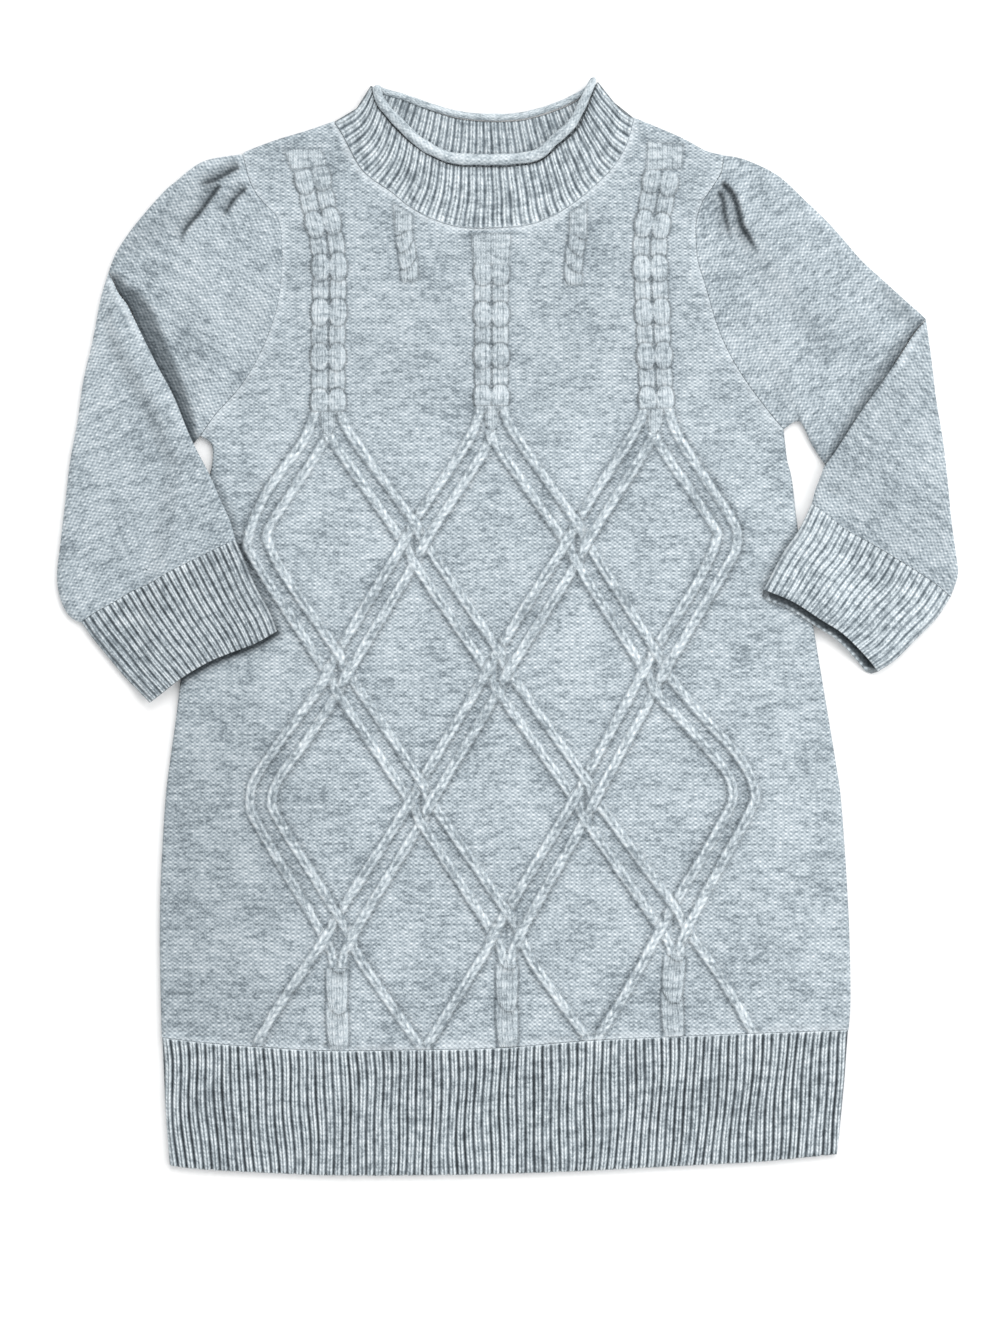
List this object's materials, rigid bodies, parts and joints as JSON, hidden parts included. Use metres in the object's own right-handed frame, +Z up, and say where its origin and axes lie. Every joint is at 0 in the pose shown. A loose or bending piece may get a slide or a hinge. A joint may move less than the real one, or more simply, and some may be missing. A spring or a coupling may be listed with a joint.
{
  "type": "sweater dress",
  "caption": "Child's knitted sweater dress laid flat, with a cabled yoke and lattice front, ribbed mock neck with rolled edge, puffed sleeves bent inward, and ribbed cuffs and hem band.",
  "frame": {"origin": "middle of the dress's outline, on the surface it lies on", "axes": "+Y from the hem to the collar, +Z up out of the front of the dress, +X towards the wearer's left sleeve"},
  "size_m": [0.477, 0.5812, 0.011],
  "materials": {
    "plain_knit": "matte blue-grey heather, reverse stocking stitch",
    "cabled_knit": "matte blue-grey heather, cables and strands on reverse stocking stitch",
    "ribbed_knit": "matte blue-grey heather, one by one rib",
    "rolled_knit": "matte blue-grey heather, plain knit edge that rolls over"
  },
  "bodies": {
    "root": {"front_panel": "cabled_knit", "back_panel": "plain_knit", "hem_band_front": "ribbed_knit", "hem_band_back": "ribbed_knit", "collar_front": "ribbed_knit", "collar_back": "ribbed_knit", "collar_roll_front": "rolled_knit", "collar_roll_back": "rolled_knit", "sleeve_right_upper": "plain_knit", "sleeve_right_lower": "plain_knit", "sleeve_left_upper": "plain_knit", "sleeve_left_lower": "plain_knit", "cuff_right": "ribbed_knit", "cuff_left": "ribbed_knit"}
  },
  "joints": []
}
